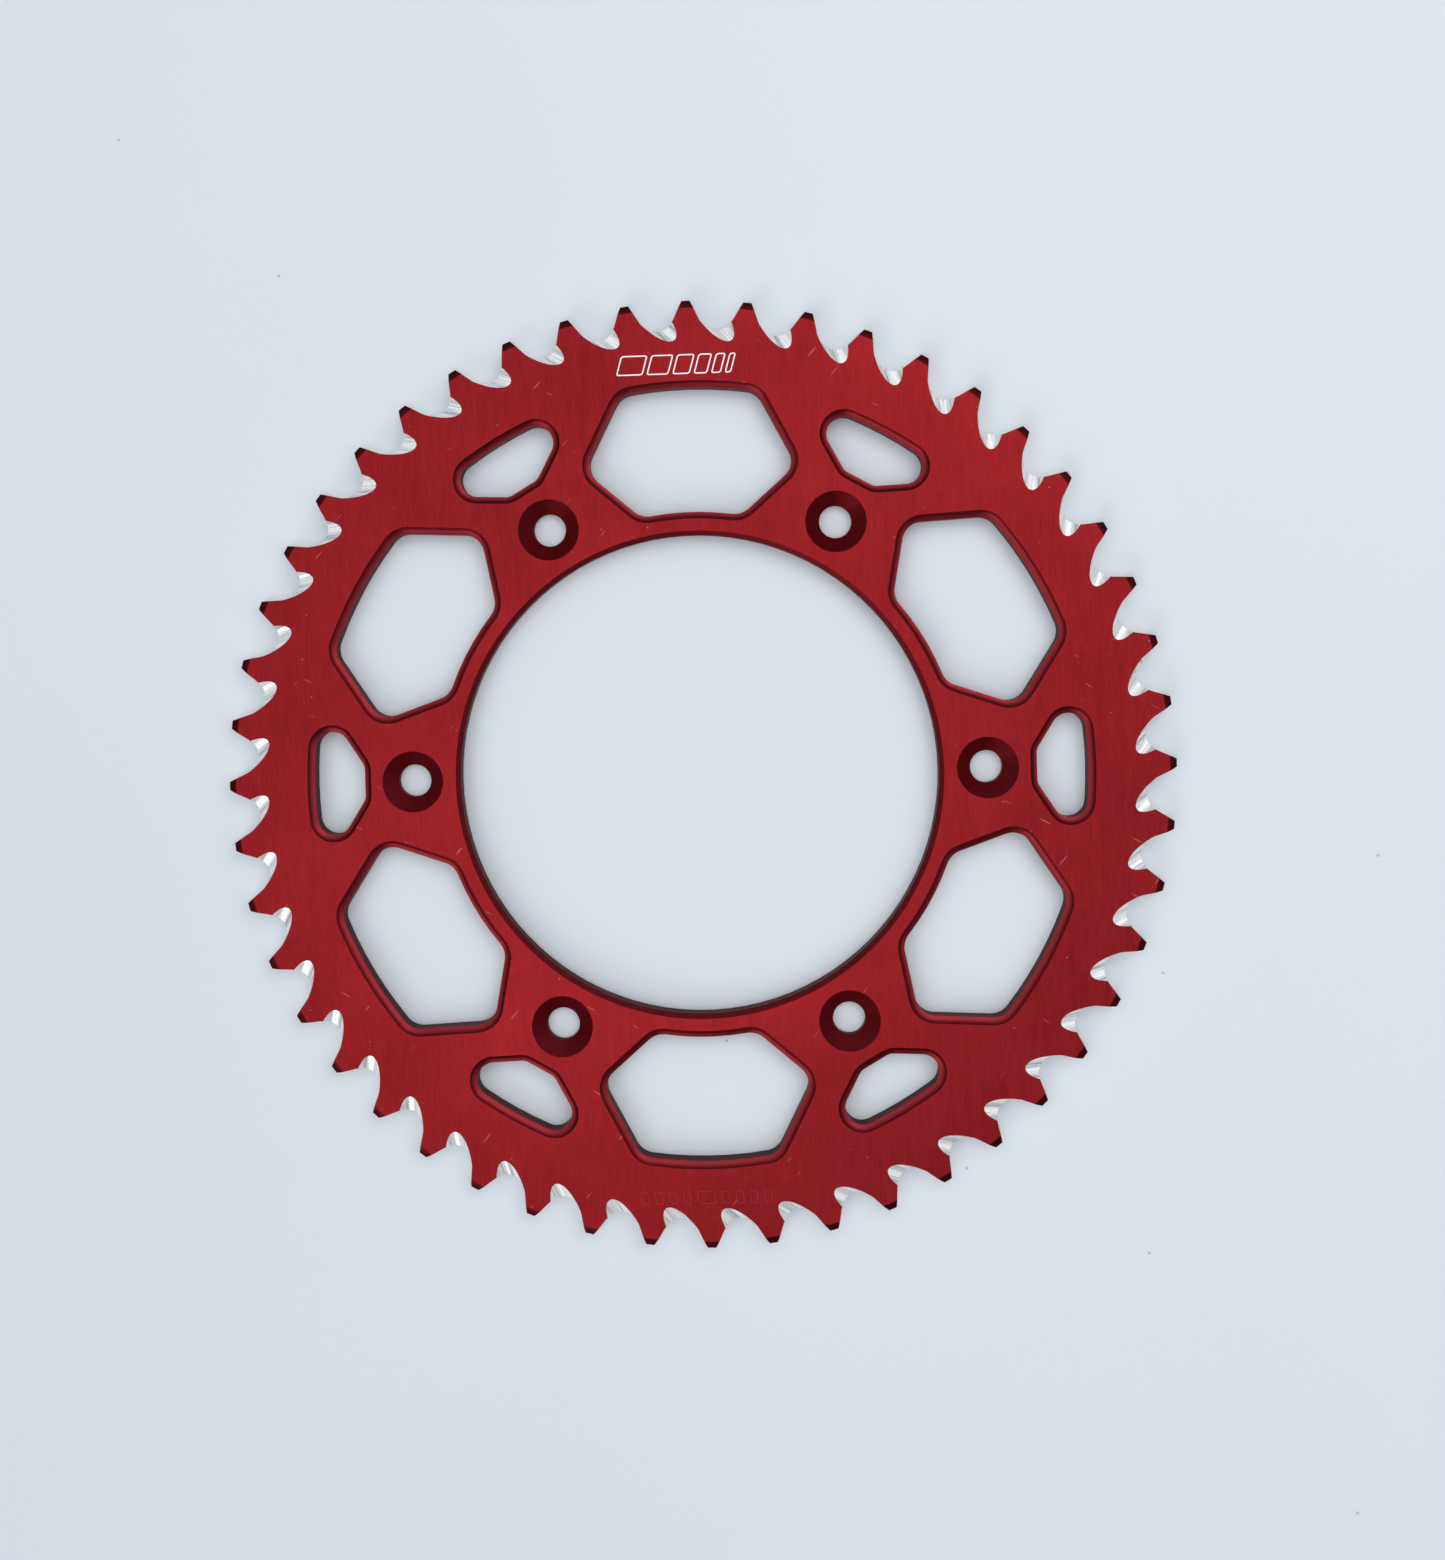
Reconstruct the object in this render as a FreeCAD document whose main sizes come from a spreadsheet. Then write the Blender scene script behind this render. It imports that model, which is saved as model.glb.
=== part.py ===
import FreeCAD, Part
import math
import os
import Sketcher
from FreeCAD import Placement, Rotation, Vector

# Rear sprocket of an off-road motorcycle, milled from one aluminium plate.
# Frame: origin at the centre of the bore on the back (hub) face, +Z through the plate to the
# outboard face. A bolt hole and a tooth lie on the +X axis.

doc = FreeCAD.newDocument("RearSprocket")

DIMENSIONS = {
    "plate_thickness": 6.0,
    # chain and teeth: a 520 chain has a 15.875 mm pitch and 10.16 mm rollers
    "chain_pitch": 15.875,
    "tooth_count": 48,
    "outside_diameter": 247.5,
    "roller_seat_radius": 5.14,
    "flank_angle": 28.5,
    "tip_bevel_width": 2.0,
    "tip_bevel_depth": 1.2,
    "tip_bevel_bulge": 0.12,
    # hub fit
    "bore_diameter": 125.0,
    "bore_front_chamfer": 1.2,
    "bore_back_chamfer": 0.5,
    "bolt_count": 6,
    "bolt_circle_diameter": 150.0,
    "bolt_hole_diameter": 8.5,
    "countersink_diameter": 16.0,
    "countersink_angle": 90.0,
    # windows: both kinds share the outer arc and the ledge
    "window_outer_radius": 102.85,
    "ledge_width": 1.8,
    "ledge_depth": 1.15,
    "ledge_hollow": 0.2,
    # large window between two bolts; offsets are from the sprocket's axis to the line of a side
    "large_inner_radius": 66.8,
    "large_corner_radius": 7.2,
    "large_side_angle": 27.2,
    "large_side_offset": 63.1,
    "large_shoulder_angle": 49.1,
    "large_shoulder_offset": 40.6,
    # small window outboard of a bolt
    "small_inner_offset": 86.0,
    "small_end_radius": 6.3,
    "small_corner_radius": 5.0,
    "small_side_angle": 57.7,
    "small_side_offset": 70.1,
    # mud relief: a round groove that sinks outwards into each tooth gap
    "relief_radius": 3.4,
    "relief_lean": 40.0,
    "relief_slope": 23.0,
    "relief_centre_radius": 120.16,
    "relief_centre_shift": -1.26,
    "relief_outer_run": 0.3,
    "relief_length": 12.0,
}

sheet = doc.addObject("Spreadsheet::Sheet", "Dimensions")
for row, (alias, value) in enumerate(DIMENSIONS.items(), start=1):
    sheet.set(f"A{row}", alias.replace("_", " "))
    sheet.set(f"B{row}", str(value))
    sheet.setAlias(f"B{row}", alias)
doc.recompute()


def dim(alias):
    return float(sheet.get(alias))


def cell(alias):
    return f"Dimensions.{alias}"


PITCH_RADIUS_CELLS = "Dimensions.chain_pitch / 2 / sin(180 deg / Dimensions.tooth_count)"
pitch_radius = dim("chain_pitch") / 2 / math.sin(math.pi / dim("tooth_count"))

# Depth by which a cutting section runs on into open air, so that no skin is left behind.
CLEARANCE = 0.6
# Volume in cubic millimetres that any real cut takes away.
LEAST_CUT = 1.0


# ---------------------------------------------------------------- sketch helpers

def origin_plane(body, role):
    return next(f for f in body.Origin.OriginFeatures if f.Role == role)


def new_sketch(body, name, role="XY_Plane", height=None, turn=None):
    """A sketch on one of the body's origin planes, raised and turned by sheet expressions.

    The turn is about the sprocket's axis, which is the sketch's own Y axis on an upright plane.
    """
    sketch = body.newObject("Sketcher::SketchObject", name)
    sketch.AttachmentSupport = [(origin_plane(body, role), "")]
    sketch.MapMode = "FlatFace"
    if height:
        sketch.setExpression("AttachmentOffset.Base.z", height)
    if turn:
        axis = Vector(0, 0, 1) if role == "XY_Plane" else Vector(0, 1, 0)
        # One degree only sets the axis; the expression gives the real angle.
        sketch.AttachmentOffset = Placement(Vector(0, 0, 0), Rotation(axis, 1.0))
        sketch.setExpression("AttachmentOffset.Rotation.Angle", turn)
    return sketch


def bind(sketch, name, constraint, expression):
    """Add a named driving constraint whose value comes from the sheet."""
    index = sketch.addConstraint(constraint)
    sketch.renameConstraint(index, name)
    sketch.setExpression(f"Constraints.{name}", expression)


def check_cut(body, feature, before):
    """A cut must take material away; returns the volume that is left."""
    doc.recompute()
    after = body.Shape.Volume
    if after >= before - LEAST_CUT:
        raise RuntimeError(f"{feature.Name} cut nothing")
    print(f"{feature.Name}: {before - after:.0f} mm3 removed")
    return after


class Side:
    """One side of a window outline, met in clockwise order.

    A line has a unit normal out of the window and a signed offset from the axis.
    An arc is centred on the axis: bulge +1 is the outer arc, -1 the inner one.
    """

    def __init__(self, name, offset_cell, normal_angle=None, bulge=0, sign=1, angle_expr=None):
        self.name = name
        self.offset_cell = offset_cell
        self.bulge = bulge
        self.sign = sign
        self.angle_expr = angle_expr
        self.normal = None
        if normal_angle is not None:
            self.normal = Vector(math.cos(normal_angle), math.sin(normal_angle), 0)

    def offset(self, inset):
        if self.bulge:
            return dim(self.offset_cell) - self.bulge * inset
        return self.sign * dim(self.offset_cell) - inset

    def offset_expression(self, inset_cell):
        if not inset_cell:
            return cell(self.offset_cell)
        towards_axis = self.bulge if self.bulge else self.sign
        operator = "-" if towards_axis > 0 else "+"
        return f"{cell(self.offset_cell)} {operator} {cell(inset_cell)}"

    def foot(self, centre, inset):
        """Where a corner arc with this centre touches the side."""
        if self.bulge:
            return Vector(centre).normalize() * self.offset(inset)
        return centre + self.normal * (self.offset(inset) - centre.dot(self.normal))


def corner_centre(first, second, radius, inset):
    """Centre of the corner arc between two sides, found by sliding along a line side."""
    line, other = (first, second) if first.normal else (second, first)
    reach = line.normal * (line.offset(inset) - radius)
    along = Vector(-line.normal.y, line.normal.x, 0)
    if other.bulge:
        distance = other.offset(inset) - other.bulge * radius
        slide = math.sqrt(distance ** 2 - reach.Length ** 2)
        points = (reach + along * slide, reach - along * slide)
        return max(points, key=lambda point: point.y)
    cross = along.dot(other.normal)
    slide = (other.offset(inset) - radius - reach.dot(other.normal)) / cross
    return reach + along * slide


def draw_window(sketch, sides, corner_cells, inset_cell=None):
    """Closed outline of straight sides and axis-centred arcs joined by tangent corner arcs."""
    inset = dim(inset_cell) if inset_cell else 0.0
    count = len(sides)
    radii = [dim(name) - inset for name in corner_cells]
    centres = [corner_centre(sides[i], sides[(i + 1) % count], radii[i], inset) for i in range(count)]
    for i, side in enumerate(sides):
        start = side.foot(centres[i - 1], inset)
        finish = side.foot(centres[i], inset)
        if side.bulge:
            middle = (start + finish).normalize() * side.offset(inset)
            sketch.addGeometry(Part.Arc(start, middle, finish), False)
        else:
            sketch.addGeometry(Part.LineSegment(start, finish), False)
        following = sides[(i + 1) % count]
        exit_point = following.foot(centres[i], inset)
        outward = ((finish + exit_point) / 2 - centres[i]).normalize() * radii[i]
        sketch.addGeometry(Part.Arc(finish, centres[i] + outward, exit_point), False)
    ends = [end_points(sketch, index, sides) for index in range(2 * count)]
    for index in range(2 * count):
        following = (index + 1) % (2 * count)
        sketch.addConstraint(Sketcher.Constraint("Tangent", index, ends[index][1],
                                                 following, ends[following][0]))
    for i, side in enumerate(sides):
        shape = 2 * i
        expression = side.offset_expression(inset_cell)
        if side.bulge:
            sketch.addConstraint(Sketcher.Constraint("Coincident", shape, 3, -1, 1))
            bind(sketch, f"{side.name}_radius",
                 Sketcher.Constraint("Radius", shape, side.offset(inset)), expression)
        else:
            bind(sketch, f"{side.name}_offset",
                 Sketcher.Constraint("Distance", -1, 1, shape, abs(side.offset(inset))), expression)
            bind_direction(sketch, side, shape)
        corner_expression = cell(corner_cells[i])
        if inset_cell:
            corner_expression += f" - {cell(inset_cell)}"
        bind(sketch, f"{side.name}_corner", Sketcher.Constraint("Radius", shape + 1, radii[i]),
             corner_expression)


def end_points(sketch, index, sides):
    """Start and finish point numbers in the order the outline is followed (clockwise).

    Sketch arcs always run anticlockwise, so a clockwise one is entered at its end point.
    The inner window arc is the only one that the outline follows anticlockwise.
    """
    if isinstance(sketch.Geometry[index], Part.LineSegment):
        return 1, 2
    is_inner_arc = index % 2 == 0 and sides[index // 2].bulge < 0
    return (1, 2) if is_inner_arc else (2, 1)


def bind_direction(sketch, side, shape):
    """Fix a straight side's angle to the sketch's vertical axis, or make it horizontal."""
    if side.angle_expr is None:
        sketch.addConstraint(Sketcher.Constraint("Horizontal", shape))
        return
    line = sketch.Geometry[shape]
    direction = line.EndPoint - line.StartPoint
    heading = math.atan2(direction.y, direction.x)
    bind(sketch, f"{side.name}_angle", Sketcher.Constraint("Angle", shape, heading), side.angle_expr)


def window_sides(prefix, lower_sides):
    """Outer arc, then the sides down the right, across the bottom and up the left."""
    right = []
    left = []
    for name, sign in lower_sides:
        angle = math.radians(dim(f"{prefix}_{name}_angle"))
        angle_cell = cell(f"{prefix}_{name}_angle")
        # The side's angle is measured from the radial line through the window's middle.
        tilt = sign * angle
        down = f"-90 deg + {angle_cell} * 1 deg" if sign > 0 else f"-90 deg - {angle_cell} * 1 deg"
        up = f"90 deg - {angle_cell} * 1 deg" if sign > 0 else f"90 deg + {angle_cell} * 1 deg"
        right.append(Side(f"right_{name}", f"{prefix}_{name}_offset", tilt, 0, sign, down))
        left.insert(0, Side(f"left_{name}", f"{prefix}_{name}_offset", math.pi - tilt, 0, sign, up))
    return right, left


# ---------------------------------------------------------------- the sprocket

sprocket = doc.addObject("PartDesign::Body", "Sprocket")
sprocket.Label = "sprocket"
z_axis = origin_plane(sprocket, "Z_Axis")


def draw_blank(sketch):
    """Half section of the turned blank: bore with chamfers, flat faces, bevelled rim."""
    thickness = dim("plate_thickness")
    bore = dim("bore_diameter") / 2
    rim = dim("outside_diameter") / 2
    front = dim("bore_front_chamfer")
    back = dim("bore_back_chamfer")
    bevel_width = dim("tip_bevel_width")
    bevel_depth = dim("tip_bevel_depth")
    bulge = dim("tip_bevel_bulge")
    points = [
        Vector(bore, back, 0),
        Vector(bore + back, 0, 0),
        Vector(rim - bevel_width, 0, 0),
        Vector(rim, bevel_depth, 0),
        Vector(rim, thickness - bevel_depth, 0),
        Vector(rim - bevel_width, thickness, 0),
        Vector(bore + front, thickness, 0),
        Vector(bore, thickness - front, 0),
    ]
    # The rim bevels are slightly rounded; the rest of the section is straight.
    bevels = (2, 4)
    count = len(points)
    for i, start in enumerate(points):
        finish = points[(i + 1) % count]
        if i in bevels:
            chord = finish - start
            outward = Vector(chord.y, -chord.x, 0).normalize()
            sketch.addGeometry(Part.Arc(start, (start + finish) / 2 + outward * bulge, finish), False)
        else:
            sketch.addGeometry(Part.LineSegment(start, finish), False)
    for i in range(count):
        sketch.addConstraint(Sketcher.Constraint("Coincident", i, 2, (i + 1) % count, 1))
    for i in (1, 5):
        sketch.addConstraint(Sketcher.Constraint("Horizontal", i))
    for i in (3, 7):
        sketch.addConstraint(Sketcher.Constraint("Vertical", i))
    for name, geometry, end, expression in (
        ("bore_radius", 7, 1, "bore_diameter / 2"),
        ("rim_radius", 3, 1, "outside_diameter / 2"),
        ("back_chamfer_radius", 0, 2, "bore_diameter / 2 + Dimensions.bore_back_chamfer"),
        ("front_chamfer_radius", 5, 2, "bore_diameter / 2 + Dimensions.bore_front_chamfer"),
        ("back_bevel_radius", 1, 2, "outside_diameter / 2 - Dimensions.tip_bevel_width"),
        ("front_bevel_radius", 5, 1, "outside_diameter / 2 - Dimensions.tip_bevel_width"),
    ):
        value = point_of(sketch, geometry, end).x
        bind(sketch, name, Sketcher.Constraint("DistanceX", -1, 1, geometry, end, value),
             f"Dimensions.{expression}")
    for name, geometry, end, expression in (
        ("back_chamfer_height", 0, 1, "bore_back_chamfer"),
        ("back_bevel_height", 3, 1, "tip_bevel_depth"),
        ("front_bevel_height", 3, 2, "plate_thickness - Dimensions.tip_bevel_depth"),
        ("front_face_height", 5, 1, "plate_thickness"),
        ("front_chamfer_height", 7, 1, "plate_thickness - Dimensions.bore_front_chamfer"),
    ):
        value = point_of(sketch, geometry, end).y
        bind(sketch, name, Sketcher.Constraint("DistanceY", -1, 1, geometry, end, value),
             f"Dimensions.{expression}")
    sketch.addConstraint(Sketcher.Constraint("PointOnObject", 1, 1, -1))
    half = math.hypot(bevel_width, bevel_depth) / 2
    for index in bevels:
        bind(sketch, f"bevel_curve_{index}",
             Sketcher.Constraint("Radius", index, (half ** 2 + bulge ** 2) / (2 * bulge)),
             "(Dimensions.tip_bevel_width ^ 2 + Dimensions.tip_bevel_depth ^ 2"
             " + 4 * Dimensions.tip_bevel_bulge ^ 2) / (8 * Dimensions.tip_bevel_bulge)")


def point_of(sketch, geometry, end):
    shape = sketch.Geometry[geometry]
    return shape.StartPoint if end == 1 else shape.EndPoint


blank_sketch = new_sketch(sprocket, "BlankSection", "XZ_Plane")
draw_blank(blank_sketch)
blank = sprocket.newObject("PartDesign::Revolution", "Blank")
blank.Profile = blank_sketch
blank.ReferenceAxis = (z_axis, [""])
blank.Angle = 360.0
doc.recompute()
volume = sprocket.Shape.Volume
print(f"Blank: {volume:.0f} mm3, z {sprocket.Shape.BoundBox.ZMin:.2f} to {sprocket.Shape.BoundBox.ZMax:.2f}")


def draw_ledge_section(sketch):
    """Hollow ledge round a window: from the face edge down to the wall of the opening."""
    edge = dim("window_outer_radius")
    face = dim("plate_thickness")
    width = dim("ledge_width")
    depth = dim("ledge_depth")
    hollow = dim("ledge_hollow")
    top = Vector(edge, face, 0)
    foot = Vector(edge - width, face - depth, 0)
    chord = foot - top
    below = Vector(-chord.y, chord.x, 0).normalize()
    points = [foot, foot - Vector(CLEARANCE, 0, 0), Vector(foot.x - CLEARANCE, face + CLEARANCE, 0),
              Vector(edge, face + CLEARANCE, 0), top]
    for start, finish in zip(points, points[1:]):
        sketch.addGeometry(Part.LineSegment(start, finish), False)
    sketch.addGeometry(Part.Arc(foot, (top + foot) / 2 + below * hollow, top), False)
    for i in range(3):
        sketch.addConstraint(Sketcher.Constraint("Coincident", i, 2, i + 1, 1))
    sketch.addConstraint(Sketcher.Constraint("Coincident", 3, 2, 4, 2))
    sketch.addConstraint(Sketcher.Constraint("Coincident", 0, 1, 4, 1))
    sketch.addConstraint(Sketcher.Constraint("Horizontal", 0))
    sketch.addConstraint(Sketcher.Constraint("Vertical", 1))
    sketch.addConstraint(Sketcher.Constraint("Horizontal", 2))
    sketch.addConstraint(Sketcher.Constraint("Vertical", 3))
    bind(sketch, "edge_radius", Sketcher.Constraint("DistanceX", -1, 1, 3, 2, edge),
         cell("window_outer_radius"))
    bind(sketch, "face_height", Sketcher.Constraint("DistanceY", -1, 1, 3, 2, face),
         cell("plate_thickness"))
    bind(sketch, "ledge_width", Sketcher.Constraint("DistanceX", 0, 1, 3, 2, width),
         cell("ledge_width"))
    bind(sketch, "ledge_depth", Sketcher.Constraint("DistanceY", 0, 1, 3, 2, depth),
         cell("ledge_depth"))
    sketch.addConstraint(Sketcher.Constraint("DistanceX", 0, 2, 0, 1, CLEARANCE))
    sketch.addConstraint(Sketcher.Constraint("DistanceY", 3, 2, 3, 1, CLEARANCE))
    half = math.hypot(width, depth) / 2
    bind(sketch, "ledge_curve",
         Sketcher.Constraint("Radius", 4, (half ** 2 + hollow ** 2) / (2 * hollow)),
         "(Dimensions.ledge_width ^ 2 + Dimensions.ledge_depth ^ 2"
         " + 4 * Dimensions.ledge_hollow ^ 2) / (8 * Dimensions.ledge_hollow)")


def polar(name, originals, count_cell):
    pattern = sprocket.newObject("PartDesign::PolarPattern", name)
    pattern.Originals = originals
    pattern.Axis = (z_axis, [""])
    pattern.Angle = 360.0
    pattern.setExpression("Occurrences", count_cell)
    sprocket.Tip = pattern
    return pattern


def cut_windows(name, sides, corner_cells, turn, before):
    """One window with its hollow ledge, repeated round the plate."""
    rim = new_sketch(sprocket, f"{name}Rim", height=cell("plate_thickness"), turn=turn)
    draw_window(rim, sides, corner_cells)
    opening = new_sketch(sprocket, f"{name}Outline", turn=turn)
    draw_window(opening, sides, corner_cells, "ledge_width")
    section = new_sketch(sprocket, f"{name}LedgeSection", "YZ_Plane", turn=turn)
    draw_ledge_section(section)
    doc.recompute()
    ledge = sprocket.newObject("PartDesign::SubtractivePipe", f"{name}Ledge")
    ledge.Profile = section
    ledge.Spine = (rim, [f"Edge{i + 1}" for i in range(len(rim.Shape.Edges))])
    volume = check_cut(sprocket, ledge, before)
    hole = sprocket.newObject("PartDesign::Pocket", f"{name}Opening")
    hole.Profile = opening
    hole.Type = "ThroughAll"
    hole.SideType = "Symmetric"
    volume = check_cut(sprocket, hole, volume)
    ring = polar(f"{name}Ring", [ledge, hole], cell("bolt_count"))
    return check_cut(sprocket, ring, volume)


def large_window_sides():
    outer = Side("outer", "window_outer_radius", bulge=1)
    inner = Side("inner", "large_inner_radius", bulge=-1)
    right, left = window_sides("large", (("side", 1), ("shoulder", -1)))
    return [outer] + right + [inner] + left


def small_window_sides():
    outer = Side("outer", "window_outer_radius", bulge=1)
    inner = Side("inner", "small_inner_offset", -math.pi / 2, 0, -1)
    right, left = window_sides("small", (("side", -1),))
    return [outer] + right + [inner] + left


volume = cut_windows("Large", large_window_sides(), ["large_corner_radius"] * 6, None, volume)
small_corners = ["small_end_radius", "small_corner_radius", "small_corner_radius", "small_end_radius"]
HALF_SPACING = "-180 deg / Dimensions.bolt_count"
volume = cut_windows("Small", small_window_sides(), small_corners, HALF_SPACING, volume)


# Bolt holes, countersunk from the outboard face.
bolt_sketch = new_sketch(sprocket, "BoltCentre", height=cell("plate_thickness"))
bolt_sketch.addGeometry(
    Part.Circle(Vector(dim("bolt_circle_diameter") / 2, 0, 0), Vector(0, 0, 1),
                dim("bolt_hole_diameter") / 2), False)
bolt_sketch.addConstraint(Sketcher.Constraint("PointOnObject", 0, 3, -1))
bind(bolt_sketch, "bolt_circle",
     Sketcher.Constraint("DistanceX", -1, 1, 0, 3, dim("bolt_circle_diameter") / 2),
     "Dimensions.bolt_circle_diameter / 2")
bind(bolt_sketch, "hole", Sketcher.Constraint("Diameter", 0, dim("bolt_hole_diameter")),
     cell("bolt_hole_diameter"))
doc.recompute()
bolt_hole = sprocket.newObject("PartDesign::Hole", "BoltHole")
bolt_hole.Profile = bolt_sketch
doc.recompute()
bolt_hole.DepthType = "ThroughAll"
bolt_hole.HoleCutType = "Countersink"
bolt_hole.HoleCutCustomValues = True
bolt_hole.setExpression("Diameter", cell("bolt_hole_diameter"))
bolt_hole.setExpression("HoleCutDiameter", cell("countersink_diameter"))
bolt_hole.setExpression("HoleCutCountersinkAngle", cell("countersink_angle"))
volume = check_cut(sprocket, bolt_hole, volume)
volume = check_cut(sprocket, polar("BoltRing", [bolt_hole], cell("bolt_count")), volume)


def draw_tooth_gap(sketch):
    """Space between two teeth: a roller seat on the pitch circle and two straight flanks."""
    seat = dim("roller_seat_radius")
    angle = math.radians(dim("flank_angle"))
    centre = Vector(0, pitch_radius, 0)
    top = dim("outside_diameter") / 2 + CLEARANCE
    right = centre + Vector(math.cos(angle), -math.sin(angle), 0) * seat
    reach = (top - right.y) * math.tan(angle)
    right_top = Vector(right.x + reach, top, 0)
    left = Vector(-right.x, right.y, 0)
    left_top = Vector(-right_top.x, top, 0)
    sketch.addGeometry(Part.Arc(left, centre - Vector(0, seat, 0), right), False)
    sketch.addGeometry(Part.LineSegment(right, right_top), False)
    sketch.addGeometry(Part.LineSegment(right_top, left_top), False)
    sketch.addGeometry(Part.LineSegment(left_top, left), False)
    sketch.addConstraint(Sketcher.Constraint("Tangent", 0, 2, 1, 1))
    sketch.addConstraint(Sketcher.Constraint("Coincident", 1, 2, 2, 1))
    sketch.addConstraint(Sketcher.Constraint("Coincident", 2, 2, 3, 1))
    sketch.addConstraint(Sketcher.Constraint("Tangent", 3, 2, 0, 1))
    sketch.addConstraint(Sketcher.Constraint("Horizontal", 2))
    sketch.addConstraint(Sketcher.Constraint("PointOnObject", 0, 3, -2))
    bind(sketch, "pitch_radius", Sketcher.Constraint("DistanceY", -1, 1, 0, 3, pitch_radius),
         PITCH_RADIUS_CELLS)
    bind(sketch, "roller_seat", Sketcher.Constraint("Radius", 0, seat), cell("roller_seat_radius"))
    bind(sketch, "right_flank", Sketcher.Constraint("Angle", 1, math.pi / 2 - angle),
         "90 deg - Dimensions.flank_angle * 1 deg")
    bind(sketch, "left_flank", Sketcher.Constraint("Angle", 3, angle - math.pi / 2),
         "-90 deg + Dimensions.flank_angle * 1 deg")
    bind(sketch, "gap_mouth", Sketcher.Constraint("DistanceY", -1, 1, 1, 2, top),
         f"Dimensions.outside_diameter / 2 + {CLEARANCE}")


HALF_TOOTH = "180 deg / Dimensions.tooth_count"
gap_sketch = new_sketch(sprocket, "ToothGapOutline", turn=HALF_TOOTH)
draw_tooth_gap(gap_sketch)
gap = sprocket.newObject("PartDesign::Pocket", "ToothGap")
gap.Profile = gap_sketch
gap.Type = "ThroughAll"
gap.SideType = "Symmetric"
volume = check_cut(sprocket, gap, volume)
volume = check_cut(sprocket, polar("ToothRing", [gap], cell("tooth_count")), volume)


def relief_placement():
    """The relief's axis: it leans clockwise from the radial line and rises towards the hub."""
    lean = math.radians(dim("relief_lean"))
    slope = math.radians(dim("relief_slope"))
    direction = Vector(math.sin(lean) * math.cos(slope), -math.cos(lean) * math.cos(slope),
                       math.sin(slope))
    crossing = Vector(dim("relief_centre_shift"), dim("relief_centre_radius"), dim("plate_thickness"))
    base = crossing - direction * dim("relief_outer_run")
    turn = Rotation(Vector(0, 0, 1), 180.0 / dim("tooth_count"))
    return Placement(turn.multVec(base), turn.multiply(Rotation(Vector(0, 0, 1), direction)))


relief = sprocket.newObject("PartDesign::SubtractiveCylinder", "MudRelief")
relief.setExpression("Radius", cell("relief_radius"))
relief.setExpression("Height", cell("relief_length"))
relief.Placement = relief_placement()
volume = check_cut(sprocket, relief, volume)
volume = check_cut(sprocket, polar("ReliefRing", [relief], cell("tooth_count")), volume)


# ---------------------------------------------------------------- checks and output

bad = [item.Name for item in doc.Objects if {"Invalid", "Error"} & set(item.State)]
if bad:
    raise RuntimeError(f"failed objects: {bad}")
shape = sprocket.Shape
if shape.isNull() or not shape.isValid() or len(shape.Solids) != 1:
    raise RuntimeError("the sprocket is not one valid solid")
box = shape.optimalBoundingBox()
print(f"box {box.XLength:.2f} x {box.YLength:.2f} x {box.ZLength:.2f}, volume {shape.Volume:.0f} mm3")

os.makedirs("parts", exist_ok=True)
shape.exportStep(f"parts/{sprocket.Label}.step")
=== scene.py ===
import bpy
import math
from mathutils import Euler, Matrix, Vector


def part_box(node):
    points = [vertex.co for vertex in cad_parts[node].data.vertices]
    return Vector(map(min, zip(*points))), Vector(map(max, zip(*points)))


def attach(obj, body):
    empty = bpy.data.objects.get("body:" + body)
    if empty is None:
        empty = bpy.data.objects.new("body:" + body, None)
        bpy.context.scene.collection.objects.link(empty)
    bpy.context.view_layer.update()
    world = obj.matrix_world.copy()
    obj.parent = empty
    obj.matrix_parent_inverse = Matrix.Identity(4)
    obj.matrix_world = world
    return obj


# Rear sprocket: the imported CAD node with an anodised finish, two rows of marks on its face, and a pale table.
# Everything is in metres, in the frame of the CAD model: z = 0 is the hub face, the outboard face is up.

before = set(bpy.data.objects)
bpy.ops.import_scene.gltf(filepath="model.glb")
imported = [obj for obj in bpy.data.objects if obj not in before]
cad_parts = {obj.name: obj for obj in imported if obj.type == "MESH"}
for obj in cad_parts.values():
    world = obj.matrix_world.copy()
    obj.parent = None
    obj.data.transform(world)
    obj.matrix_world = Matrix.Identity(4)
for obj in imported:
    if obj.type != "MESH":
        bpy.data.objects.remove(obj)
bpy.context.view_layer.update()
mm = 0.001
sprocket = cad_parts["sprocket"]
low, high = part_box("sprocket")
faceHeight = high[2]
bpy.context.scene.view_settings.view_transform = "Standard"
print("frame loaded,", round((high[0] - low[0]) / mm, 2), "mm across")


# small helpers for shader trees

def addNode(tree, kind, at=(0, 0), **settings):
    node = tree.nodes.new(kind)
    node.location = at
    for name, value in settings.items():
        setattr(node, name, value)
    return node


def feed(tree, socket, value):
    if isinstance(value, bpy.types.NodeSocket):
        tree.links.new(value, socket)
    else:
        socket.default_value = value


def calc(tree, operation, a, b=0.0, c=0.0):
    node = addNode(tree, "ShaderNodeMath", operation=operation)
    feed(tree, node.inputs[0], a)
    feed(tree, node.inputs[1], b)
    feed(tree, node.inputs[2], c)
    return node.outputs[0]


def remap(tree, value, fromLow, fromHigh, toLow=0.0, toHigh=1.0, smooth=False):
    node = addNode(tree, "ShaderNodeMapRange", clamp=True)
    if smooth:
        node.interpolation_type = "SMOOTHSTEP"
    feed(tree, node.inputs["Value"], value)
    feed(tree, node.inputs["From Min"], fromLow)
    feed(tree, node.inputs["From Max"], fromHigh)
    feed(tree, node.inputs["To Min"], toLow)
    feed(tree, node.inputs["To Max"], toHigh)
    return node.outputs["Result"]


def blendColor(tree, factor, a, b):
    node = addNode(tree, "ShaderNodeMix", data_type="RGBA")
    feed(tree, node.inputs["Factor"], factor)
    feed(tree, node.inputs["A"], a)
    feed(tree, node.inputs["B"], b)
    return node.outputs["Result"]


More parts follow.
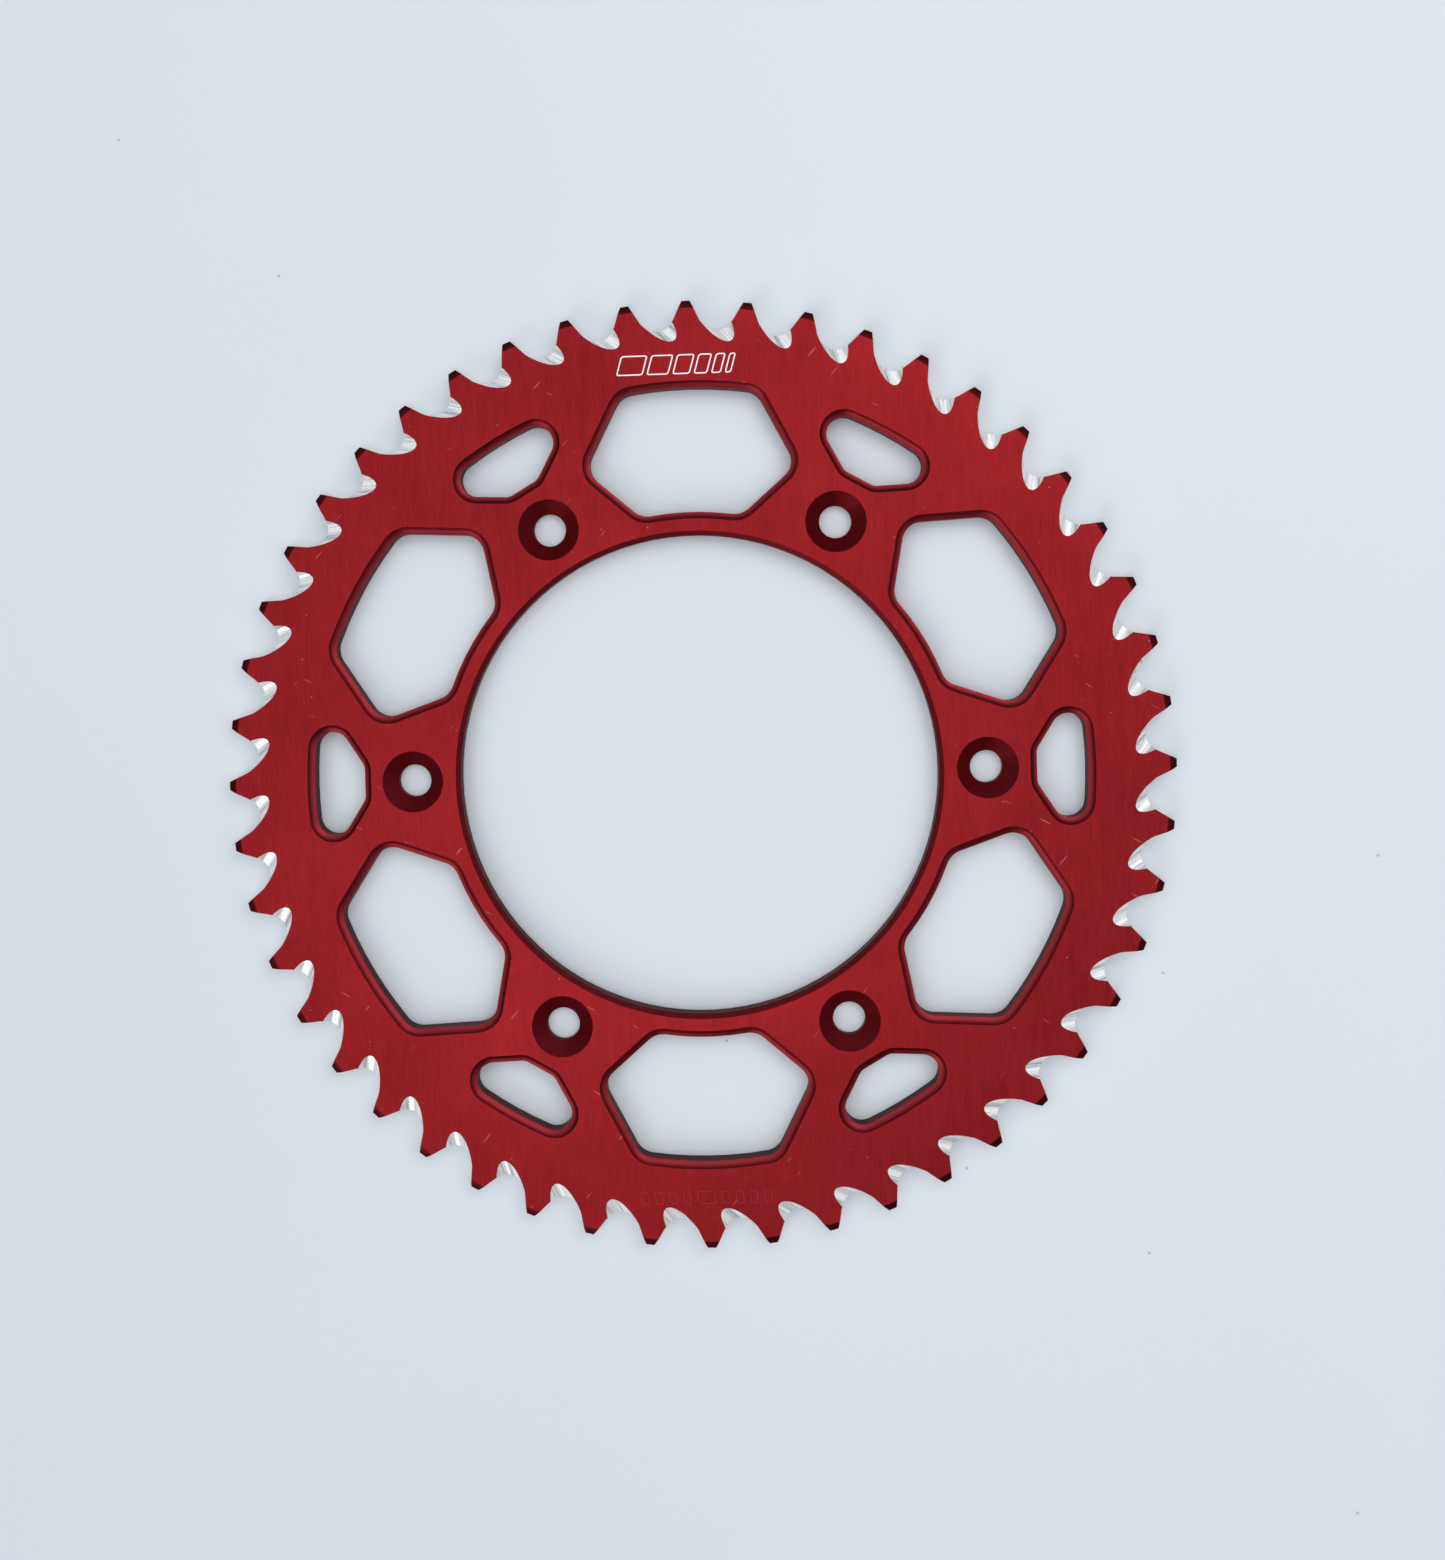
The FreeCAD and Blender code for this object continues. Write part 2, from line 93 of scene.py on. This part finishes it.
def blendValue(tree, factor, a, b):
    node = addNode(tree, "ShaderNodeMix", data_type="FLOAT")
    feed(tree, node.inputs["Factor"], factor)
    feed(tree, node.inputs["A"], a)
    feed(tree, node.inputs["B"], b)
    return node.outputs["Result"]


def between(tree, amount, ends):
    # a value that goes from the first end to the second as the amount goes from 0 to 1
    return calc(tree, "MULTIPLY_ADD", amount, ends[1] - ends[0], ends[0])


def newGroup(name, inputs, outputs):
    group = bpy.data.node_groups.new(name, "ShaderNodeTree")
    for socketName, kind, default in inputs:
        socket = group.interface.new_socket(name=socketName, in_out="INPUT", socket_type=kind)
        if default is not None:
            socket.default_value = default
    for socketName, kind in outputs:
        group.interface.new_socket(name=socketName, in_out="OUTPUT", socket_type=kind)
    start = addNode(group, "NodeGroupInput", (-900, 0))
    end = addNode(group, "NodeGroupOutput", (900, 0))
    return group, start, end


def useGroup(tree, group, at=(0, 0), **values):
    node = addNode(tree, "ShaderNodeGroup", at, node_tree=group)
    for name, value in values.items():
        feed(tree, node.inputs[name], value)
    return node


def newMaterial(name):
    material = bpy.data.materials.new(name)
    material.use_nodes = True
    tree = material.node_tree
    tree.nodes.clear()
    shader = addNode(tree, "ShaderNodeBsdfPrincipled", (600, 0))
    output = addNode(tree, "ShaderNodeOutputMaterial", (900, 0))
    tree.links.new(shader.outputs["BSDF"], output.inputs["Surface"])
    return material, tree, shader


# shared effects

streakKinds = {
    "Fine Streak": ("Fine", 3.0, 0.6),  # its scale input, then the noise's detail and roughness
    "Broad Streak": ("Coarse", 2.0, 0.5),
}
streakRange = (0.28, 0.72)  # the noise between these two is stretched to the full range


def makeGrain():
    # streaks: noise over a vector that is already stretched along them
    group, start, end = newGroup(
        "lineGrain",
        (("Vector", "NodeSocketVector", None),
         ("Fine", "NodeSocketFloat", 1.0),
         ("Coarse", "NodeSocketFloat", 1.0)),
        (("Fine Streak", "NodeSocketFloat"), ("Broad Streak", "NodeSocketFloat")),
    )
    for output, (source, detail, roughness) in streakKinds.items():
        noise = addNode(group, "ShaderNodeTexNoise", noise_dimensions="3D")
        feed(group, noise.inputs["Vector"], start.outputs["Vector"])
        feed(group, noise.inputs["Scale"], start.outputs[source])
        noise.inputs["Detail"].default_value = detail
        noise.inputs["Roughness"].default_value = roughness
        feed(group, end.inputs[output], remap(group, noise.outputs["Fac"], *streakRange))
    return group


speckShape = {
    "ragged": 0.6,  # bumps in a speck's outline, for a length equal to its size
    "least": 0.2,  # share of its size that a speck keeps where the outline is drawn in most
}


def makeSpecks():
    # a few small spots, far apart: Size and Spacing are in the units of the vector
    group, start, end = newGroup(
        "looseSpecks",
        (("Vector", "NodeSocketVector", None),
         ("Spacing", "NodeSocketFloat", 40 * mm),
         ("Size", "NodeSocketFloat", 0.5 * mm),
         ("Share", "NodeSocketFloat", 0.2)),
        (("Mask", "NodeSocketFloat"),),
    )
    cells = addNode(group, "ShaderNodeTexVoronoi", voronoi_dimensions="2D", feature="F1")
    wobble = addNode(group, "ShaderNodeTexNoise", noise_dimensions="3D")
    feed(group, wobble.inputs["Vector"], start.outputs["Vector"])
    feed(group, wobble.inputs["Scale"], calc(group, "DIVIDE", speckShape["ragged"], start.outputs["Size"]))
    scale = calc(group, "DIVIDE", 1.0, start.outputs["Spacing"])
    feed(group, cells.inputs["Vector"], start.outputs["Vector"])
    feed(group, cells.inputs["Scale"], scale)
    reach = calc(group, "MULTIPLY", calc(group, "MULTIPLY", start.outputs["Size"], scale),
                 calc(group, "ADD", wobble.outputs["Fac"], speckShape["least"]))
    near = calc(group, "LESS_THAN", cells.outputs["Distance"], reach)
    pick = addNode(group, "ShaderNodeSeparateColor")
    feed(group, pick.inputs[0], cells.outputs["Color"])
    chosen = calc(group, "LESS_THAN", pick.outputs[0], start.outputs["Share"])
    feed(group, end.inputs["Mask"], calc(group, "MULTIPLY", near, chosen))
    return group


scratchShape = {
    "turns": (0.5, 2.3),  # the way each of the two sets lies, in radians, and how far it is moved aside
    "stretch": 0.10,
    "fade": 0.04,  # the rise in the noise from the edge of a scratch to its full strength
}


def makeScratches():
    # short fine handling scratches in two directions
    group, start, end = newGroup(
        "hairScratches",
        (("Vector", "NodeSocketVector", None),
         ("Fineness", "NodeSocketFloat", 1500.0),
         ("Rarity", "NodeSocketFloat", 0.74)),
        (("Mask", "NodeSocketFloat"),),
    )
    found = None
    for turn in scratchShape["turns"]:
        turned = addNode(group, "ShaderNodeVectorRotate", rotation_type="Z_AXIS")
        feed(group, turned.inputs["Vector"], start.outputs["Vector"])
        turned.inputs["Angle"].default_value = turn
        stretch = addNode(group, "ShaderNodeMapping")
        feed(group, stretch.inputs["Vector"], turned.outputs[0])
        stretch.inputs["Scale"].default_value = (scratchShape["stretch"], 1.0, 1.0)
        stretch.inputs["Location"].default_value = (turn, turn, 0.0)
        noise = addNode(group, "ShaderNodeTexNoise", noise_dimensions="3D")
        feed(group, noise.inputs["Vector"], stretch.outputs[0])
        feed(group, noise.inputs["Scale"], start.outputs["Fineness"])
        noise.inputs["Detail"].default_value = 0.0
        full = calc(group, "ADD", start.outputs["Rarity"], scratchShape["fade"])
        line = remap(group, noise.outputs["Fac"], start.outputs["Rarity"], full)
        found = line if found is None else calc(group, "MAXIMUM", found, line)
    feed(group, end.inputs["Mask"], found)
    return group


lineGrain = makeGrain()
looseSpecks = makeSpecks()
hairScratches = makeScratches()
print("shared effects made")


# the sprocket's finish: red anodised all over, then the teeth cut through it to bare aluminium; the upright
# walls and the turned rim of the tooth tips get darker painted shade

finish = {
    "face": (0.290, 0.0160, 0.0195, 1.0),
    "faceDark": (0.178, 0.0088, 0.0112, 1.0),
    "scratch": (0.60, 0.22, 0.22, 1.0),
    "turned": (0.22, 0.018, 0.024, 1.0),
    # painted shade: the turned rim of the tooth tips is painted darker than the other turned faces, for the
    # dark it reflects
    "tipPaintedShade": (0.095, 0.0085, 0.0125, 1.0),
    # painted shade: the upright walls, red anodised like the rest, get a dark greyish colour for their shade
    # and the table's grey grazing reflection
    "wall": (0.095, 0.045, 0.048, 1.0),
    "bare": (0.97, 0.97, 0.97, 1.0),
    "bareDark": (0.62, 0.64, 0.67, 1.0),
    "faceRoughness": (0.33, 0.43),
    "turnedRoughness": (0.34, 0.42),
    "bareRoughness": (0.22, 0.38),
    "bareMetal": 0.55,
    "specularTint": (0.60, 0.50, 0.50, 1.0),
    "bumpStrength": 0.3,
    "bumpDistance": 0.03 * mm,
    # where each finish lies
    "reliefStart": 112.5 * mm,  # inside this radius everything is anodised
    "bevelStart": 121.6 * mm,  # outside it the turned rim stays anodised, under the painted shade of the tip colour
    "flatAbove": 0.985,  # the upright part of a flat face's normal is more than this
    "uprightBelow": 0.1,  # and of a wall's less than this
    "outwardAbove": 0.95,  # how squarely the turned rim faces away from the axis
    # the brushed grain: streaks per metre across and along it, and what makes up its light and dark
    "grainAcross": 1700.0,
    "grainAlong": 150.0,
    "grainBroad": 0.25,
    "cloudScale": 45.0,
    "cloudDetail": 3.0,
    "cloudRange": (0.3, 0.7),
    "fineShare": 0.45,
    "broadShare": 0.30,
    "cloudShare": 0.35,
    # handling marks
    "scratchFineness": 1700.0,
    "scratchRarity": 0.84,
    "scratchStrength": 0.35,
    "speckSpacing": 13 * mm,
    "speckSize": 0.22 * mm,
    "speckShare": 0.25,
    "speckStrength": 0.6,
    # tool marks on the walls, and the cutter's marks in the tooth gaps, per metre
    "millRound": 500.0,
    "millUp": 2500.0,
    "millBroad": 0.4,
    "teeth": 48,
    "grooveLean": 40.0,  # degrees from the radial line to the cutter marks in a tooth gap
    "cutterAcross": 2600.0,
    "cutterAlong": 110.0,
    "cutterBroad": 0.35,
    "cutterApart": 7.3,  # how far one gap's marks are from the next one's in the noise
    "cutterShares": (0.6, 0.4),  # of the fine and the broad streaks
    "cutterRange": (0.30, 0.55),
}


def cutterMarks(tree, coords, x, y):
    # the vector is turned so that each tooth gap has its own marks along the way its cutter went
    pitch = 2 * math.pi / finish["teeth"]
    gap = calc(tree, "FLOOR", calc(tree, "DIVIDE", calc(tree, "ARCTAN2", y, x), pitch))
    middle = calc(tree, "MULTIPLY", calc(tree, "ADD", gap, 0.5), pitch)
    turned = addNode(tree, "ShaderNodeVectorRotate", (-1700, -900), rotation_type="Z_AXIS")
    feed(tree, turned.inputs["Vector"], coords)
    feed(tree, turned.inputs["Angle"], calc(tree, "SUBTRACT", -math.radians(finish["grooveLean"]), middle))
    stretch = addNode(tree, "ShaderNodeMapping", (-1500, -900))
    feed(tree, stretch.inputs["Vector"], turned.outputs[0])
    along, across = finish["cutterAlong"], finish["cutterAcross"]
    stretch.inputs["Scale"].default_value = (along, across, along)
    apart = addNode(tree, "ShaderNodeCombineXYZ", (-1500, -1100))
    feed(tree, apart.inputs["Z"], calc(tree, "MULTIPLY", gap, finish["cutterApart"]))
    shifted = addNode(tree, "ShaderNodeVectorMath", (-1300, -900), operation="ADD")
    feed(tree, shifted.inputs[0], stretch.outputs[0])
    feed(tree, shifted.inputs[1], apart.outputs[0])
    return useGroup(tree, lineGrain, (-1100, -900),
                    Vector=shifted.outputs[0], Fine=1.0, Coarse=finish["cutterBroad"])


def sprocketFinish():
    material, tree, shader = newMaterial("redAnodised")
    coords = addNode(tree, "ShaderNodeTexCoord", (-2200, 0)).outputs["Object"]
    geometry = addNode(tree, "ShaderNodeNewGeometry", (-2200, -300))
    split = addNode(tree, "ShaderNodeSeparateXYZ", (-2000, 0))
    feed(tree, split.inputs[0], coords)
    x, y = split.outputs[0], split.outputs[1]
    normalSplit = addNode(tree, "ShaderNodeSeparateXYZ", (-2000, -300))
    feed(tree, normalSplit.inputs[0], geometry.outputs["True Normal"])
    nx, ny, nz = normalSplit.outputs

    # where it is: the flat faces, the turned rim of the tooth tips, upright walls, and the bare cuts
    radius = calc(tree, "SQRT", calc(tree, "MULTIPLY_ADD", x, x, calc(tree, "MULTIPLY", y, y)))
    flat = calc(tree, "GREATER_THAN", calc(tree, "ABSOLUTE", nz), finish["flatAbove"])
    upright = calc(tree, "LESS_THAN", calc(tree, "ABSOLUTE", nz), finish["uprightBelow"])
    tilt = calc(tree, "SUBTRACT", 1.0, calc(tree, "MULTIPLY", nz, nz))
    sideways = calc(tree, "SQRT", calc(tree, "MAXIMUM", tilt, 0.000001))  # never 0, it divides
    outward = calc(tree, "DIVIDE", calc(tree, "MULTIPLY_ADD", nx, x, calc(tree, "MULTIPLY", ny, y)),
                   calc(tree, "MULTIPLY", radius, sideways))
    turnedRim = calc(tree, "MULTIPLY", calc(tree, "GREATER_THAN", radius, finish["bevelStart"]),
                     calc(tree, "GREATER_THAN", outward, finish["outwardAbove"]))
    toothed = calc(tree, "GREATER_THAN", radius, finish["reliefStart"])
    cut = calc(tree, "MULTIPLY", calc(tree, "SUBTRACT", 1.0, flat), calc(tree, "SUBTRACT", 1.0, turnedRim))
    bare = calc(tree, "MULTIPLY", toothed, cut)

    # brushed grain, along Y on both faces, with patches where it took the dye a little differently
    stretch = addNode(tree, "ShaderNodeMapping", (-1700, 300))
    feed(tree, stretch.inputs["Vector"], coords)
    stretch.inputs["Scale"].default_value = (finish["grainAcross"], finish["grainAlong"], 1.0)
    grain = useGroup(tree, lineGrain, (-1400, 300),
                     Vector=stretch.outputs[0], Fine=1.0, Coarse=finish["grainBroad"])
    streak = grain.outputs["Fine Streak"]
    broad = grain.outputs["Broad Streak"]
    cloud = addNode(tree, "ShaderNodeTexNoise", (-1400, 0))
    feed(tree, cloud.inputs["Vector"], coords)
    cloud.inputs["Scale"].default_value = finish["cloudScale"]
    cloud.inputs["Detail"].default_value = finish["cloudDetail"]
    clouding = remap(tree, cloud.outputs["Fac"], *finish["cloudRange"])
    mixed = calc(tree, "MULTIPLY", clouding, finish["cloudShare"])
    mixed = calc(tree, "MULTIPLY_ADD", broad, finish["broadShare"], mixed)
    mixed = calc(tree, "MULTIPLY_ADD", streak, finish["fineShare"], mixed)

    scratches = useGroup(tree, hairScratches, (-1400, 600), Vector=coords,
                         Fineness=finish["scratchFineness"], Rarity=finish["scratchRarity"])
    specks = useGroup(tree, looseSpecks, (-1400, 900), Vector=coords, Spacing=finish["speckSpacing"],
                      Size=finish["speckSize"], Share=finish["speckShare"])
    marks = calc(tree, "MAXIMUM",
                 calc(tree, "MULTIPLY", scratches.outputs["Mask"], finish["scratchStrength"]),
                 calc(tree, "MULTIPLY", specks.outputs["Mask"], finish["speckStrength"]))

    # the tool's marks on the turned and milled walls
    turning = addNode(tree, "ShaderNodeMapping", (-1700, -600))
    feed(tree, turning.inputs["Vector"], coords)
    turning.inputs["Scale"].default_value = (finish["millRound"], finish["millRound"], finish["millUp"])
    milled = useGroup(tree, lineGrain, (-1400, -600),
                      Vector=turning.outputs[0], Fine=1.0, Coarse=finish["millBroad"])
    milledStreak = milled.outputs["Fine Streak"]
    cutter = cutterMarks(tree, coords, x, y)
    fineShare, broadShare = finish["cutterShares"]
    cutterStreak = calc(tree, "MULTIPLY_ADD", cutter.outputs["Fine Streak"], fineShare,
                        calc(tree, "MULTIPLY", cutter.outputs["Broad Streak"], broadShare))
    cutterLine = remap(tree, cutterStreak, *finish["cutterRange"])

    faceColor = blendColor(tree, mixed, finish["faceDark"], finish["face"])
    faceColor = blendColor(tree, marks, faceColor, finish["scratch"])
    # painted shade: the upright walls take the dark greyish wall colour
    turnedWithPaintedShade = blendColor(tree, upright, finish["turned"], finish["wall"])
    # painted shade on the turned rim of the tooth tips
    turnedWithPaintedShade = blendColor(tree, turnedRim, turnedWithPaintedShade, finish["tipPaintedShade"])
    anodisedWithPaintedShade = blendColor(tree, flat, turnedWithPaintedShade, faceColor)
    bareColor = blendColor(tree, cutterLine, finish["bareDark"], finish["bare"])
    feed(tree, shader.inputs["Base Color"], blendColor(tree, bare, anodisedWithPaintedShade, bareColor))

    faceRough = between(tree, broad, finish["faceRoughness"])
    turnedRough = between(tree, milledStreak, finish["turnedRoughness"])
    bareRough = between(tree, cutterStreak, finish["bareRoughness"])
    rough = blendValue(tree, bare, blendValue(tree, flat, turnedRough, faceRough), bareRough)
    feed(tree, shader.inputs["Roughness"], rough)
    feed(tree, shader.inputs["Metallic"], blendValue(tree, bare, 1.0, finish["bareMetal"]))
    shader.inputs["Specular Tint"].default_value = finish["specularTint"]

    height = blendValue(tree, bare, blendValue(tree, flat, milledStreak, streak), cutterStreak)
    bump = addNode(tree, "ShaderNodeBump", (300, -400))
    bump.inputs["Strength"].default_value = finish["bumpStrength"]
    bump.inputs["Distance"].default_value = finish["bumpDistance"]
    feed(tree, bump.inputs["Height"], height)
    feed(tree, shader.inputs["Normal"], bump.outputs["Normal"])
    return material


sprocket.material_slots[0].material = sprocketFinish()
print("sprocket finished")


# marks on the outboard face: rows of outlined slanted bars, one lasered white and one faintly stamped

laserMark = {
    "middle": (-2.95 * mm, 107.1 * mm),
    "height": 5.2 * mm,
    "widths": (7.0 * mm, 5.8 * mm, 4.6 * mm, 3.6 * mm, 2.6 * mm, 1.7 * mm),
    "gap": 0.95 * mm,
    "slant": 1.5 * mm,
    "round": 0.7 * mm,
    "line": 0.34 * mm,
    "proud": 0.02 * mm,
    "low": (0.88, 0.83, 0.84, 1.0),
    "high": (0.98, 0.96, 0.96, 1.0),
    "metal": 0.0,
}

stampMark = {
    "middle": (-1.0 * mm, -110.2 * mm),
    "height": 3.4 * mm,
    "widths": (2.0 * mm,) * 4 + (4.6 * mm,) + (2.0 * mm,) * 4,
    "gap": 1.7 * mm,
    "slant": -0.5 * mm,
    "round": 0.8 * mm,
    "line": 0.16 * mm,
    "proud": 0.01 * mm,
    "low": (0.33, 0.022, 0.026, 1.0),
    "high": (0.42, 0.040, 0.044, 1.0),
    "metal": 1.0,
}

# what both rows share
markDetail = {
    "cornerSteps": 4,
    "dotScale": 3000.0,
    "dotRange": (0.35, 0.65),
    "roughness": (0.45, 0.65),
}


def onlySelect(piece):
    bpy.ops.object.select_all(action="DESELECT")
    piece.select_set(True)
    bpy.context.view_layer.objects.active = piece


def slantedBar(mark, left, width):
    # a plane whose top edge is pushed along, its corners rounded, then inset and opened in the middle
    middle = mark["middle"]
    centre = (left + width / 2, middle[1], faceHeight + mark["proud"])
    bpy.ops.object.select_all(action="DESELECT")
    bpy.ops.mesh.primitive_plane_add(size=1.0, location=centre)
    bar = bpy.context.active_object
    bar.scale = (width, mark["height"], 1.0)
    bpy.ops.object.transform_apply(location=True, rotation=True, scale=True)
    bpy.ops.object.mode_set(mode="EDIT")
    bpy.ops.mesh.select_all(action="DESELECT")
    bpy.ops.object.mode_set(mode="OBJECT")
    for vertex in bar.data.vertices:
        vertex.select = vertex.co.y > middle[1]
    bpy.ops.object.mode_set(mode="EDIT")
    bpy.ops.transform.translate(value=(mark["slant"], 0.0, 0.0))
    bpy.ops.mesh.select_all(action="SELECT")
    bpy.ops.mesh.bevel(offset=mark["round"], segments=markDetail["cornerSteps"],
                       affect="VERTICES", clamp_overlap=True)
    bpy.ops.mesh.select_all(action="SELECT")
    bpy.ops.mesh.inset(thickness=mark["line"], depth=0.0)
    bpy.ops.mesh.delete(type="FACE")
    bpy.ops.object.mode_set(mode="OBJECT")
    return bar


def markFinish(name, mark):
    material, tree, shader = newMaterial(name)
    coords = addNode(tree, "ShaderNodeTexCoord", (-900, 0)).outputs["Object"]
    dots = addNode(tree, "ShaderNodeTexNoise", (-600, 0))
    feed(tree, dots.inputs["Vector"], coords)
    dots.inputs["Scale"].default_value = markDetail["dotScale"]
    tint = remap(tree, dots.outputs["Fac"], *markDetail["dotRange"])
    feed(tree, shader.inputs["Base Color"], blendColor(tree, tint, mark["low"], mark["high"]))
    feed(tree, shader.inputs["Roughness"], between(tree, tint, markDetail["roughness"]))
    shader.inputs["Metallic"].default_value = mark["metal"]
    return material


def barRow(name, mark, finishOfMark):
    total = sum(mark["widths"]) + mark["gap"] * (len(mark["widths"]) - 1) + mark["slant"]
    left = mark["middle"][0] - total / 2
    bars = []
    for width in mark["widths"]:
        bars.append(slantedBar(mark, left, width))
        left += width + mark["gap"]
    bpy.ops.object.select_all(action="DESELECT")
    for bar in bars:
        bar.select_set(True)
    bpy.context.view_layer.objects.active = bars[0]
    bpy.ops.object.join()
    row = bars[0]
    row.name = name
    row.data.materials.append(finishOfMark)
    onlySelect(row)
    thickness = row.modifiers.new("thickness", "SOLIDIFY")
    thickness.thickness = mark["proud"]
    thickness.offset = -1.0
    bpy.ops.object.modifier_apply(modifier="thickness")
    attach(row, "root")
    print(name, "made,", len(row.data.polygons), "faces")


barRow("laserMark", laserMark, markFinish("laserWhite", laserMark))
barRow("stampMark", stampMark, markFinish("stampedRed", stampMark))


# the table it lies on, with painted light that makes it paler towards one side

table = {
    "size": 3.0,
    "below": 0.05 * mm,  # under the hub face, so that the two never share a plane
    "low": (0.635, 0.680, 0.735, 1.0),
    "high": (0.750, 0.785, 0.830, 1.0),
    "paintedLightWay": (0.75, 0.66, 0.0),  # the way the painted light makes it paler
    "paintedLightReach": 0.30,
    "paintedLightShare": 0.8,
    "cloudScale": 3.0,
    "cloudRange": (0.3, 0.7),
    "cloudShare": 0.2,
    "roughness": (0.5, 0.6),
    "dust": (0.25, 0.25, 0.26, 1.0),
    "dustSpacing": 55 * mm,
    "dustSize": 0.6 * mm,
    "dustShare": 0.3,
    "dustStrength": 0.5,
}


def makeTable():
    bpy.ops.object.select_all(action="DESELECT")
    bpy.ops.mesh.primitive_plane_add(size=table["size"], location=(0.0, 0.0, -table["below"]))
    floor = bpy.context.active_object
    floor.name = "table"
    material, tree, shader = newMaterial("paleTable")
    coords = addNode(tree, "ShaderNodeTexCoord", (-900, 0)).outputs["Object"]
    cloud = addNode(tree, "ShaderNodeTexNoise", (-600, 0))
    feed(tree, cloud.inputs["Vector"], coords)
    cloud.inputs["Scale"].default_value = table["cloudScale"]
    tint = remap(tree, cloud.outputs["Fac"], *table["cloudRange"])
    specks = useGroup(tree, looseSpecks, (-600, 300), Vector=coords, Spacing=table["dustSpacing"],
                      Size=table["dustSize"], Share=table["dustShare"])
    # painted light: the table is paler towards one side and darker towards the other
    slope = addNode(tree, "ShaderNodeVectorMath", (-700, -300), operation="DOT_PRODUCT")
    feed(tree, slope.inputs[0], coords)
    slope.inputs[1].default_value = table["paintedLightWay"]
    paintedLight = remap(tree, slope.outputs["Value"], -table["paintedLightReach"], table["paintedLightReach"])
    shade = calc(tree, "MULTIPLY_ADD", tint, table["cloudShare"],
                 calc(tree, "MULTIPLY", paintedLight, table["paintedLightShare"]))
    clean = blendColor(tree, shade, table["low"], table["high"])
    dustHere = calc(tree, "MULTIPLY", specks.outputs["Mask"], table["dustStrength"])
    feed(tree, shader.inputs["Base Color"], blendColor(tree, dustHere, clean, table["dust"]))
    feed(tree, shader.inputs["Roughness"], between(tree, tint, table["roughness"]))
    floor.data.materials.append(material)


makeTable()
print("table made")


# light and camera

room = {
    "sky": (0.95, 0.98, 1.0, 1.0),
    "horizon": 0.15,  # radiance at the horizon, overhead, and from under the table
    "zenith": 1.14,
    "under": 0.75,
    "dimBelow": 0.20,  # sine of the elevation where it starts to brighten
    "fullFrom": 0.80,  # and where it is as bright as overhead
    "underFull": -0.3,  # and, downwards, where the light from under the table is full
    "backdrop": 0.62,  # what the camera itself sees behind the table
    "shade": (0.10, -0.72, 0.70),  # towards the person who leans over the table, and how much they hide
    "shadeDepth": 0.75,
    "shadeRim": 40.0,  # degrees
    "shadeCore": 20.0,
}

# all of them point at the middle of the table
softboxes = {
    "key": {"at": (0.50, 0.60, 1.20), "size": (0.9, 0.9), "power": 3.5, "color": (1.0, 0.97, 0.92)},
    "lamp": {"at": (-0.10, -0.28, 1.30), "size": (0.25, 0.25), "power": 1.0, "color": (1.0, 1.0, 1.0)},
    "low": {"at": (-1.20, -2.00, 1.50), "size": (2.2, 1.4), "power": 17.0, "color": (1.0, 1.0, 1.0)},
}


def makeRoom():
    world = bpy.data.worlds.new("room")
    bpy.context.scene.world = world
    world.use_nodes = True
    tree = world.node_tree
    background = tree.nodes["Background"]
    direction = addNode(tree, "ShaderNodeTexCoord", (-800, 0))
    split = addNode(tree, "ShaderNodeSeparateXYZ", (-600, 0))
    feed(tree, split.inputs[0], direction.outputs["Generated"])
    glow = remap(tree, split.outputs["Z"], room["dimBelow"], room["fullFrom"],
                 room["horizon"], room["zenith"], smooth=True)
    towards = addNode(tree, "ShaderNodeVectorMath", (-600, -300), operation="DOT_PRODUCT")
    feed(tree, towards.inputs[0], direction.outputs["Generated"])
    towards.inputs[1].default_value = Vector(room["shade"]).normalized()
    rim, core = math.radians(room["shadeRim"]), math.radians(room["shadeCore"])
    hidden = remap(tree, towards.outputs["Value"], math.cos(rim), math.cos(core),
                   0.0, room["shadeDepth"], smooth=True)
    glow = calc(tree, "MULTIPLY", glow, calc(tree, "SUBTRACT", 1.0, hidden))
    underTable = remap(tree, split.outputs["Z"], 0.0, room["underFull"], smooth=True)
    glow = blendValue(tree, underTable, glow, room["under"])
    seen = addNode(tree, "ShaderNodeLightPath", (-600, 300)).outputs["Is Camera Ray"]
    background.inputs["Color"].default_value = room["sky"]
    feed(tree, background.inputs["Strength"], blendValue(tree, seen, glow, room["backdrop"]))


def makeSoftboxes():
    for name, box in softboxes.items():
        lamp = bpy.data.lights.new(name, "AREA")
        lamp.shape = "RECTANGLE"
        lamp.size, lamp.size_y = box["size"]
        lamp.energy = box["power"]
        lamp.color = box["color"]
        holder = bpy.data.objects.new(name, lamp)
        bpy.context.scene.collection.objects.link(holder)
        holder.location = box["at"]
        holder.rotation_euler = (-Vector(box["at"])).to_track_quat("-Z", "Y").to_euler()


camera = {
    "at": (13.08 * mm, 43.89 * mm, 485.57 * mm),
    "turn": (-0.091, 2.127, -1.621),  # degrees
    "sensor": 36.0,
    "focalLength": 42.4823,
    "shift": (0.0299, -0.1103),
    "clip": (0.01, 20.0),
}


def makeCamera():
    lens = bpy.data.cameras.new("camera")
    lens.sensor_width = camera["sensor"]
    lens.lens = camera["focalLength"]
    lens.shift_x, lens.shift_y = camera["shift"]
    lens.clip_start, lens.clip_end = camera["clip"]
    holder = bpy.data.objects.new("camera", lens)
    bpy.context.scene.collection.objects.link(holder)
    holder.location = camera["at"]
    holder.rotation_euler = Euler([math.radians(angle) for angle in camera["turn"]], "XYZ")
    bpy.context.scene.camera = holder


makeRoom()
makeSoftboxes()
makeCamera()
print("lights and camera placed")
